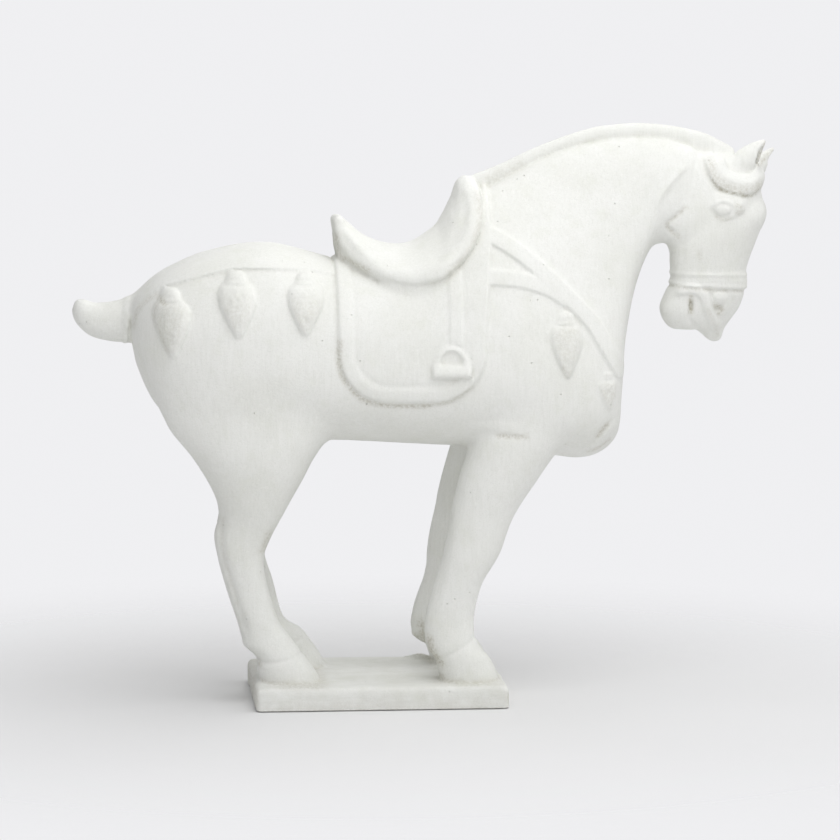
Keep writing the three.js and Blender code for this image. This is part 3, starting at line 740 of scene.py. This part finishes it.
# %% Forelock
LOCK_CREST = [[307.5, 492], [307.5, 483], [312, 473], [321, 468.5], [331, 466.5], [343, 468.5], [352, 477]]
LOCK_RISE = 6.0
crest_away, crest_place = near_path(LOCK_CREST)
upper_side = np.sqrt(np.clip(1 - (crest_away / 8.5) ** 2, 0, 1))
lower_side = (1 - 0.05 * np.abs(crest_away)) * ramp(crest_away, -11.0, -8.6)
lock = LOCK_RISE * np.where(crest_away > 0, upper_side, lower_side)
lock -= 1.3 * bell(crest_away + 12.2, 1.8) + 0.5 * bell(crest_away - 4.0, 1.5)
lock *= ramp(crest_place, 0, 0.12) * (1 - 0.75 * ramp(SIDE_X, 338, 352)) * (np.abs(crest_away) < 16)
take_off(lock, [290, -60, 445], [366, 60, 505])

# %% Groove under the mane
MANE_GROOVE = [
    [84, 455], [110, 468.5], [134, 481], [156, 491.5], [179, 499.5], [201, 504.5], [224, 507],
    [250, 507.5], [283, 501], [310, 486],
]
take_off(groove(MANE_GROOVE, 2.6, 1.3, fade=0.12), [70, -60, 430], [340, 60, 520])
print("concrete with mane and ears:", litres(), "litres")

# %% [markdown]
# ## The saddle
# A deep seat lies between the cantle behind and the high pommel in front, with a hollow
# under it. Each slice across the horse falls from the middle line to the rim as a power
# curve. A roll runs round the rim. In front it lies on the cloth, with its middle a quarter of
# its radius inside the concrete there. Under the pommel the rim widens into a broad band with
# a scoop behind it, which are drawn on the side view like the relief.

# %% Saddle
# x, height of the seat on the middle line, height of the rim, half width, height of the sole
SADDLE = [
    [-39, 434, 431, 14, 418], [-32, 437.5, 425, 31, 394], [-12, 421.5, 403, 52, 373],
    [8, 413, 390, 65, 362], [30, 413, 386, 71, 362], [52, 426, 390, 71, 362], [61, 438.5, 396, 67, 368],
    [68, 454, 402, 62, 376], [73.5, 467, 410, 57, 384], [80, 469.5, 420, 51, 392],
    [90, 471, 448, 38, 404],
]
RIM_THICKNESS = 10
SEAT_POWER = 2.2
# x, z and radius of the roll along the rim, seen from the side
RIM_ROLL = [
    [-34.5, 432, 4.6], [-30, 415, 5.2], [-17, 400, 5.6], [-2, 391, 5.4], [12, 386, 5.2], [27, 383.5, 5.2],
    [44, 385.5, 5.6], [60, 391.8, 6.4], [72, 402, 6.8], [80, 414, 7.0], [85, 430, 7.0],
    [86.5, 446, 6.6], [86, 462, 5.6],
]
PROUD_SHARE = 0.75
# the middle of the broad band under the pommel
RIM_BAND = [
    [14, 384], [30, 384.5], [44, 387.5], [57, 392], [67.5, 401.5], [77, 413.5], [84, 428],
    [87, 444], [86.5, 458], [84, 466],
]
RIM_BAND_HALF = 6.8
RIM_BAND_RISE = 4.2
RIM_CREST = -2.5
SCOOP = [[67, 436], [70.5, 445], [73, 454], [74, 463]]


def rounded_corner(a, b, radius):
    """Field of two sides with a rounded corner, where a and b are the distances past the
    corner's centre: |(max(a, 0), max(b, 0))| + min(max(a, b), 0) - radius."""
    return np.hypot(np.maximum(a, 0), np.maximum(b, 0)) + np.minimum(np.maximum(a, b), 0) - radius


def running_mean(values, reach):
    """The mean of each value and of its neighbours up to reach places away."""
    count = 2 * reach + 1
    return np.convolve(np.pad(values, reach, mode="edge"), np.ones(count) / count, mode="valid")


where = part_of([-52, -84, 350], [104, 84, 484])
x, y, z = places_in(where)
y = np.abs(y)
dense = spaced(SADDLE, 129)
seat, rim, half, sole = [np.interp(x, dense[:, 0], dense[:, k]).astype(np.float32) for k in range(1, 5)]
top = seat - (seat - rim) * np.minimum(y / half, 1.4) ** SEAT_POWER
rounding = RIM_THICKNESS / 2 - 0.3
out_y = y - (half - 2 - rounding)
out_z = np.abs(z - (top - RIM_THICKNESS / 2)) - (RIM_THICKNESS / 2 - rounding)
core = np.maximum(np.maximum(y - half * 0.93, z - top + 3), sole - z)
saddle = soft_min(rounded_corner(out_y, out_z, rounding), core, 3.0)
saddle = soft_max(saddle, np.maximum(-38.5 - x, x - 93), 7.0)
band_away, band_place = [on_part(values, where) for values in near_path(RIM_BAND)]
past_band = (-band_away - RIM_BAND_HALF - 9 * (1 - ramp(x, 50, 68))).astype(np.float32)
saddle = soft_max(saddle, past_band, 2.0)
slopes = np.gradient(saddle, CELL)
saddle = saddle / np.clip(np.sqrt(sum(s * s for s in slopes)), 0.6, 3.0)

# %% Roll and band along the rim
roll = spaced(RIM_ROLL, 90)
columns = [np.searchsorted(axes[k], roll[:, n]) for k, n in ((0, 0), (2, 1))]
cloth_y = running_mean(((body[columns[0], :, columns[1]] < 0) * np.abs(axes[1])).max(axis=1), 6)
free_y = np.interp(roll[:, 0], dense[:, 0], dense[:, 3]) - roll[:, 2]
on_cloth = np.maximum(cloth_y - (1 - PROUD_SHARE) * roll[:, 2], 14)
roll_y = running_mean(np.where(roll[:, 0] < 12, free_y, on_cloth), 4)
balls = [(ball_x, side, ball_z, radius) for (ball_x, ball_z, radius), side in zip(roll, roll_y)]
end_x, end_z, end_radius = roll[0]
balls += [(end_x, side, end_z + 1.2, end_radius) for side in np.linspace(0, roll_y[0], 8)]
saddle = soft_min(saddle, of_balls(x, y, z, balls), 3.0)
print("the roll lies", roll_y.min().round(1), "to", roll_y.max().round(1), "mm off the middle")
body[where] = soft_min(body[where], saddle, 2.0)
outer = np.sqrt(np.clip(1 - ((band_away + RIM_CREST) / (RIM_BAND_HALF - RIM_CREST)) ** 2, 0, 1))
band = RIM_BAND_RISE * np.where(band_away > -RIM_CREST, 1 - ramp(band_away, 4.0, 13.0), outer)
band -= 0.8 * bell(band_away + RIM_BAND_HALF + 1.2, 1.5)
band *= ramp(band_place, 0.1, 0.4)
body[where] -= band + on_part(groove(SCOOP, 3.8, 1.8, fade=0.4), where)
print("saddle spans", saddle.shape, "points")

# %% [markdown]
# ## The plinth
# A low block with rounded corners and worn edges carries the hooves, which run into it with
# a small fillet. The far fore leg keeps a pointed lump at its heel, and a little concrete was
# spilled on the block behind it. Both are chains of small balls.

# %% Plinth
PLINTH = (113.5, 88.0, 21.0)
PLINTH_CORNER = 5.5
WORN_EDGE = 7.0

where = part_of([-122, -97, -6], [122, 97, 40])
x, y, z = places_in(where)
past_x = np.abs(x) - (PLINTH[0] - PLINTH_CORNER)
past_y = np.abs(y) - (PLINTH[1] - PLINTH_CORNER)
block = soft_max(rounded_corner(past_x, past_y, PLINTH_CORNER), z - PLINTH[2], WORN_EDGE)
body[where] = soft_min(body[where], block, 4.0)
# points and radii of each chain
CRUMBS = [
    ([[41, 46, 50], [43.5, 47, 47], [48, 48, 42]], [3.6, 3.6, 2.4]),
    ([[34, 76, 21], [41, 72, 22], [48, 68, 23], [56, 66, 22]], [1.2, 2.4, 3.0, 2.0]),
]
for points, radii in CRUMBS:
    where, crumb = chain(points, radii, np.min(points, axis=0) - 9, np.max(points, axis=0) + 9, ripple=0.8)
    body[where] = soft_min(body[where], crumb, 1.5)
print("concrete with the plinth:", litres(), "litres")

# %% [markdown]
# ## Hand-made unevenness
# A cast from a worked mould is never quite flat. Two slow random waves of up to a third of a
# millimetre break up the long flanks and the straight edges of the plinth. Their seeds are
# fixed, so that every run gives the same horse.

# %% Unevenness
def slow_wave(spacing, seed):
    """Smooth random numbers from -1 to 1: random values on a coarse lattice, and between
    them the S curve along each axis in turn."""
    counts = [int((axis[-1] - axis[0]) / spacing) + 3 for axis in axes]
    values = np.random.default_rng(seed).uniform(-1, 1, counts).astype(np.float32)
    for k, axis in enumerate(axes):
        place = (axis - axis[0]) / spacing
        i = np.floor(place).astype(int)
        share = place - i
        share = along_axis(share * share * (3 - 2 * share), k)
        values = np.take(values, i, axis=k) * (1 - share) + np.take(values, i + 1, axis=k) * share
    return values


# height in millimetres, spacing and seed of each wave
for rise, spacing, seed in ((0.32, 21.0, 5), (0.14, 8.0, 6)):
    body += rise * slow_wave(spacing, seed)
body = np.maximum(body, -axes[2][None, None, :])

# %% [markdown]
# ## One skin
# The skin is drawn with surface nets: every cell of the lattice that the zero of the field
# passes through gets one point, at the middle of the places where its edges are crossed, and
# every crossed edge gets one face between its four cells. It is done with whole arrays.

# %% The skin
def draw_skin(field):
    """Points and four-sided faces of the surface where the field is zero."""
    cells = np.array(field.shape) - 1
    strides = np.array([cells[1] * cells[2], cells[2], 1])
    inside = field < 0
    ids, places, flips = [], [], []
    for axis in range(3):
        first = tuple(slice(0, -1) if k == axis else slice(None) for k in range(3))
        second = tuple(slice(1, None) if k == axis else slice(None) for k in range(3))
        start = np.argwhere(inside[first] != inside[second])
        end = start.copy()
        end[:, axis] += 1
        here, there = field[tuple(start.T)], field[tuple(end.T)]
        point = start.astype(float)
        point[:, axis] += here / (here - there)
        b, c = (axis + 1) % 3, (axis + 2) % 3
        corner = start @ strides
        ids.append(np.stack([
            corner - strides[b] - strides[c], corner - strides[c], corner, corner - strides[b],
        ], axis=1))
        places.append(np.repeat(point, 4, axis=0))
        flips.append(here > 0)
    ids, places, flips = np.concatenate(ids), np.concatenate(places), np.concatenate(flips)
    _, number = np.unique(ids, return_inverse=True)
    number = number.reshape(-1)
    count = np.bincount(number)
    points = np.stack([np.bincount(number, places[:, k]) / count for k in range(3)], axis=1)
    faces = number.reshape(-1, 4)
    faces[flips] = faces[flips, ::-1]
    return points * CELL + LOW, faces


points, faces = draw_skin(body)
print("skin:", len(points), "points and", len(faces), "faces")


# %% The mesh
def mesh_of(name, points, faces):
    """A mesh from arrays of points in millimetres and of four-sided faces."""
    mesh = bpy.data.meshes.new(name)
    mesh.vertices.add(len(points))
    mesh.vertices.foreach_set("co", (points * MM).astype(np.float32).ravel())
    mesh.loops.add(faces.size)
    mesh.loops.foreach_set("vertex_index", faces.astype(np.int32).ravel())
    mesh.polygons.add(len(faces))
    mesh.polygons.foreach_set("loop_start", np.arange(0, faces.size, faces.shape[1], dtype=np.int32))
    mesh.update(calc_edges=True)
    mesh.validate()
    return mesh


# %% [markdown]
# ## Fewer faces where the form is calm
# The skin has the same fine faces everywhere. Collapsing edges where the surface is nearly
# flat leaves a good quarter of the triangles, with the fine ones at the eye and the straps.

# %% Thinned mesh
FACE_TARGET = 195000

dense_mesh = mesh_of("dense", points, faces)
horse = add_object("horse", dense_mesh)
thin = horse.modifiers.new("thin", "DECIMATE")
thin.ratio = min(1.0, FACE_TARGET / (2 * len(faces)))
bpy.context.view_layer.update()
evaluated = horse.evaluated_get(bpy.context.evaluated_depsgraph_get())
thinned = bpy.data.meshes.new_from_object(evaluated)
horse.modifiers.clear()
horse.data = thinned
thinned.name = "horse"
bpy.data.meshes.remove(dense_mesh)
thinned.polygons.foreach_set("use_smooth", np.ones(len(thinned.polygons), bool))
print("thinned to", len(thinned.polygons), "faces")

# %% [markdown]
# ## Where it darkens and where it wears
# Hollows are darkened in the colour as painted shade, and edges are lightened as wear. How much
# concrete lies around a point tells one from the other: more than half of a small cube is
# filled in a hollow, and less than half on an edge. It goes onto the mesh as three attributes
# for the finish: small hollows, wide hollows and edges.

# %% Hollows and edges
def filled_share(reach):
    """Share of concrete in a cube around every point of the lattice, by running sums."""
    share = (body < 0).astype(np.float32)
    for k in range(3):
        total = np.cumsum(share, axis=k)
        size = share.shape[k]
        upper = np.minimum(np.arange(size) + reach, size - 1)
        lower = np.arange(size) - reach - 1
        below = np.take(total, np.maximum(lower, 0), axis=k)
        below *= along_axis(lower >= 0, k)
        share = (np.take(total, upper, axis=k) - below) / (2 * reach + 1)
    return share


def looked_up(values, points):
    """Values of the lattice at any points, mixed between the eight lattice points around."""
    place = np.clip((points - LOW) / CELL, 0, np.array(values.shape) - 1.001)
    i = place.astype(int)
    f = place - i
    total = 0
    for corner in range(8):
        step = np.array([corner & 1, corner >> 1 & 1, corner >> 2 & 1])
        weight = np.prod(np.where(step == 1, f, 1 - f), axis=1)
        total = total + weight * values[tuple((i + step).T)]
    return total


def mark(name, values, shown=0.5):
    """Puts a value on every point of the mesh, as an attribute."""
    attribute = thinned.attributes.new(name, "FLOAT", "POINT")
    attribute.data.foreach_set("value", values.astype(np.float32))
    print(name, "marks", round(float((values > shown).mean()) * 100, 1), "% of the points")


corners = np.empty(len(thinned.vertices) * 3, np.float32)
thinned.vertices.foreach_get("co", corners)
corners = corners.reshape(-1, 3) / MM
# name, half of the cube in cells, share beyond one half where it starts and is full, sign
# the small and the wide hollows darken the colour as painted shade, and the edges lighten it as wear
SHARES = [
    ("hollow", 3, 0.03, 0.20, 1),
    ("wide_hollow_shade", 9, 0.04, 0.24, 1),
    ("edge", 2, 0.06, 0.22, -1),
]
for name, reach, start, end, sign in SHARES:
    share = looked_up(filled_share(reach), corners) - 0.5
    mark(name, ramp(sign * share, start, end))

# %% Stains and painted shade on the mesh
side_points = corners * np.array([1.0, 0.0, 1.0]) + np.array([0.0, LOW[1], 0.0])
mark("stain_and_shade", looked_up(np.repeat(stain_and_shade[:, None, :], 2, axis=1), side_points), shown=0.3)

# %% [markdown]
# ## White concrete
# White cement with pale sand is matte, a little grey-green, and never one flat colour: it is
# grainy up close and dotted with small air bubbles, with faint brush marks, upright on the
# horse and level on the plinth. Its hollows, and a few creases and faces turned from the light,
# are darkened in the colour as painted shade. Outdoors it picks up brown dirt in a few edges.

# %% Helpers for the finish
def feed(socket, value):
    """Sets a socket to a value, or links it where the value is the output of a node."""
    if isinstance(value, bpy.types.NodeSocket):
        tree.links.new(value, socket)
    else:
        socket.default_value = value


def new_node(kind, settings=None, **inputs):
    """Adds a node to the present tree, with its settings, and with its inputs by name or, after
    an underscore, by number. Returns its outputs."""
    node = tree.nodes.new("ShaderNode" + kind)
    for name, value in (settings or {}).items():
        setattr(node, name, value)
    for name, value in inputs.items():
        feed(node.inputs[int(name[1:]) if name[0] == "_" else name], value)
    return node.outputs


def new_material(name):
    """A material, its tree and the inputs of its shader."""
    material = bpy.data.materials.new(name)
    material.use_nodes = True
    return material, material.node_tree, material.node_tree.nodes["Principled BSDF"].inputs


def mix_colour(factor, a, b):
    """a and b mixed by a factor."""
    return new_node("Mix", {"data_type": "RGBA"}, _0=factor, _6=a, _7=b)[2]


def spread(value, low, high, to_low=0, to_high=1):
    """Stretches a value from low..high to another range, on an S curve, and cuts it off there."""
    smooth = {"interpolation_type": "SMOOTHSTEP"}
    return new_node("MapRange", smooth, _0=value, _1=low, _2=high, _3=to_low, _4=to_high)[0]


def times(a, b):
    """The product of two values."""
    return new_node("Math", {"operation": "MULTIPLY"}, _0=a, _1=b)[0]


def plus(a, b):
    """The sum of two values."""
    return new_node("Math", {"operation": "ADD"}, _0=a, _1=b)[0]


def noise(scale, detail=4.0, rough=0.55, where=None):
    """A cloud pattern on the object's own coordinates."""
    where = place if where is None else where
    return new_node("TexNoise", Vector=where, Scale=scale, Detail=detail, Roughness=rough)[0]


def strokes(*stretch):
    """A fine cloud pattern, drawn out along the axes with a small factor."""
    where = new_node("VectorMath", {"operation": "MULTIPLY"}, _0=place, _1=stretch)[0]
    return noise(420, 3, 0.6, where)


def marked(name):
    """An attribute of the mesh as a value."""
    return new_node("Attribute", {"attribute_name": name})["Fac"]


# %% White concrete
PALE = (0.822, 0.826, 0.800, 1)
CLOUD = (0.785, 0.79, 0.755, 1)
MOSS = (0.66, 0.68, 0.58, 1)
DARK_STROKE = (0.66, 0.665, 0.62, 1)
LIGHT_STROKE = (0.90, 0.90, 0.88, 1)
DARK_GRAIN = (0.58, 0.58, 0.54, 1)
LIGHT_SAND = (0.93, 0.93, 0.91, 1)
SHADE_AND_DIRT_TINT = (0.36, 0.34, 0.25, 1)
STAIN_AND_SHADE_TINT = (0.30, 0.26, 0.16, 1)
WORN = (0.90, 0.895, 0.87, 1)
PIT = (0.42, 0.40, 0.35, 1)

concrete, tree, surface = new_material("white_concrete")
place = new_node("TexCoord")["Object"]
up = new_node("SeparateXYZ", Vector=place)[2]
clouds = spread(noise(14, 5), 0.4, 0.64)
grain = noise(900, 2, 0.6)
sand = noise(330, 3, 0.6)
on_plinth = spread(up, 0.0205, 0.0225, 1, 0)
brushed = new_node("Mix", _0=on_plinth, _2=strokes(1, 1, 0.09), _3=strokes(0.09, 0.09, 1))[0]
# where, how much at most, colour
LAYERS = [
    (spread(noise(60, 4), 0.5, 0.75), 0.18, MOSS),
    (spread(brushed, 0.46, 0.66), 0.13, DARK_STROKE),
    (spread(brushed, 0.3, 0.46, 1, 0), 0.13, LIGHT_STROKE),
    (spread(grain, 0.5, 0.72), 0.22, DARK_GRAIN),
    (spread(sand, 0.28, 0.42, 1, 0), 0.22, LIGHT_SAND),
]
colour = mix_colour(clouds, PALE, CLOUD)
for mask, most, tint in LAYERS:
    colour = mix_colour(times(mask, most), colour, tint)

# %% Painted shade, dirt, worn edges and bubbles
patchy = spread(noise(45, 5, 0.65), 0.36, 0.62)
crumbly = spread(noise(380, 4, 0.7), 0.38, 0.62, 0.25, 1)
low_down = spread(up, 0.002, 0.04, 1, 0)
# painted shade: the small and the wide hollows are darkened in the colour, broken up by noise, and the
# lowest four centimetres are patchily darker with dirt
shade_and_dirt = times(times(marked("hollow"), spread(noise(120, 4), 0.3, 0.7, 0.2, 1)), 0.16)
shade_and_dirt = plus(shade_and_dirt, times(times(marked("wide_hollow_shade"), patchy), 0.1))
shade_and_dirt = plus(shade_and_dirt, times(times(low_down, patchy), 0.14))
bubbles = new_node("TexVoronoi", Vector=place, Scale=150.0, Randomness=1.0)
some = spread(new_node("SeparateColor", _0=bubbles["Color"])[0], 0.9, 0.92)
pit = times(spread(bubbles["Distance"], 0.05, 0.11, 1, 0), some)
MARKS = [
    # painted shade in the hollows, with dirt near the bottom
    (shade_and_dirt, SHADE_AND_DIRT_TINT),
    # stains: brown dirt in a few places, and painted shade in creases and on faces turned from the light
    (times(times(marked("stain_and_shade"), crumbly), 0.75), STAIN_AND_SHADE_TINT),
    (times(marked("edge"), 0.3), WORN),
    (times(pit, 0.22), PIT),
]
for amount, tint in MARKS:
    colour = mix_colour(amount, colour, tint)

skin = plus(times(grain, 0.35), times(sand, 0.65))
skin = plus(plus(skin, times(brushed, 0.3)), times(pit, -2.4))
feed(surface["Base Color"], colour)
feed(surface["Specular IOR Level"], 0.28)
feed(surface["Roughness"], spread(clouds, 0, 1, 0.82, 0.94))
feed(surface["Normal"], new_node("Bump", Strength=1.0, Distance=0.0005, Height=skin)[0])
thinned.materials.append(concrete)

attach(horse, "root")
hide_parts("horse_sculpture")
print("finish nodes:", len(tree.nodes))

# %% [markdown]
# ## Floor, light and surroundings
# The photograph has a bright, nearly white ground that runs into the background without a
# line. A wide pale floor fades into a background of the same brightness. Three wide suns
# stand in front and beside the head. Round lamps close to the horse light it from above, so
# the shadow stays near the plinth, and a low one lights its legs. The surroundings fill what
# is left, most of all from below, as a white studio floor throws light up at the belly.

# %% Floor
FLOOR_REACH = 6.0
FLOOR_LEVEL = -0.0004
FLOOR_COLOUR = (0.812, 0.812, 0.817, 1)

rings = np.linspace(0, 1, 41) ** 1.5 * FLOOR_REACH
turns = np.linspace(0, 2 * np.pi, 97)[:-1]
floor_points = np.stack([
    np.outer(rings, np.cos(turns)).ravel(),
    np.outer(rings, np.sin(turns)).ravel(),
    np.full(rings.size * turns.size, FLOOR_LEVEL),
], axis=1)
ring, turn = np.meshgrid(np.arange(rings.size - 1), np.arange(turns.size), indexing="ij")
inner, next_turn = ring * turns.size, (turn + 1) % turns.size
outer = inner + turns.size
floor_faces = np.stack([inner + turn, outer + turn, outer + next_turn, inner + next_turn], axis=-1)
floor = add_object("floor", mesh_of("floor", floor_points / MM, floor_faces.reshape(-1, 4)))

pale_floor, tree, surface = new_material("pale_floor")
place = new_node("TexCoord")["Object"]
away = new_node("VectorMath", {"operation": "LENGTH"}, _0=place)["Value"]
feed(surface["Base Color"], FLOOR_COLOUR)
feed(surface["Roughness"], 0.9)
feed(surface["Specular IOR Level"], 0.1)
feed(surface["Alpha"], spread(away, 0.16, 0.8, 1, 0))
floor.data.materials.append(pale_floor)

# %% Surroundings and lights
BACKGROUND = (0.868, 0.868, 0.885, 1)
FILL = 0.42
FILL_FROM_BELOW = 0.79

world = bpy.data.worlds.new("bright_studio")
bpy.context.scene.world = world
world.use_nodes = True
tree = world.node_tree
tree.nodes.clear()
rays = new_node("TexCoord")["Generated"]
fill = spread(new_node("SeparateXYZ", Vector=rays)[2], -0.12, 0.02, FILL_FROM_BELOW, FILL)
lighting = new_node("Background", Color=(1, 1, 1, 1), Strength=fill)[0]
seen = new_node("Background", Color=BACKGROUND, Strength=1.0)[0]
from_camera = new_node("LightPath")["Is Camera Ray"]
new_node("OutputWorld", _0=new_node("MixShader", _0=from_camera, _1=lighting, _2=seen)[0])
bpy.context.scene.view_settings.view_transform = "Standard"

# name, strength, degrees from the camera towards the head's side, degrees above the floor
SUNS = [
    ("front", 0.38, 0, 55),
    ("head_side", 0.17, 75, 30),
    ("head_back", 0.45, 105, 30),
]
SUN_DISC = np.radians(45)
# name, watts and place in metres of the round lamps, which look at the horse's middle
ROUND_LAMPS = [
    ("above", 1.6, (0, 0, 1.3)),
    ("above_head", 1.3, (0.5, -0.4, 1.3)),
    ("key", 2.0, (0.18, -0.6, 0.95)),
    ("before", 0.4, (0.1, -1.2, 1.1)),
    ("low", 1.2, (0.0, -1.2, 0.2)),
    ("behind", 2.01, (0.1, 0.7, 1.2)),
]
LAMP_SIZE = 0.7
HORSE_MIDDLE = np.array([0.05, 0, 0.3])


def add_lamp(kind, name, energy, pose):
    """A lamp of a kind, with its energy, in a pose."""
    data = bpy.data.lights.new(name, kind)
    data.energy = energy
    add_object(name, data).matrix_world = pose
    return data


for name, strength, turn, rise in SUNS:
    towards = direction(VIEW_TURN + np.radians(turn), np.radians(rise))
    add_lamp("SUN", name, strength, facing(towards, (0, 1, 0))).angle = SUN_DISC
for name, watts, spot in ROUND_LAMPS:
    lamp = add_lamp("AREA", name, watts, facing(spot - HORSE_MIDDLE, (0, 1, 0.1), spot))
    lamp.shape = "DISK"
    lamp.size = LAMP_SIZE
print("lights:", [lamp.name for lamp in bpy.data.lights])
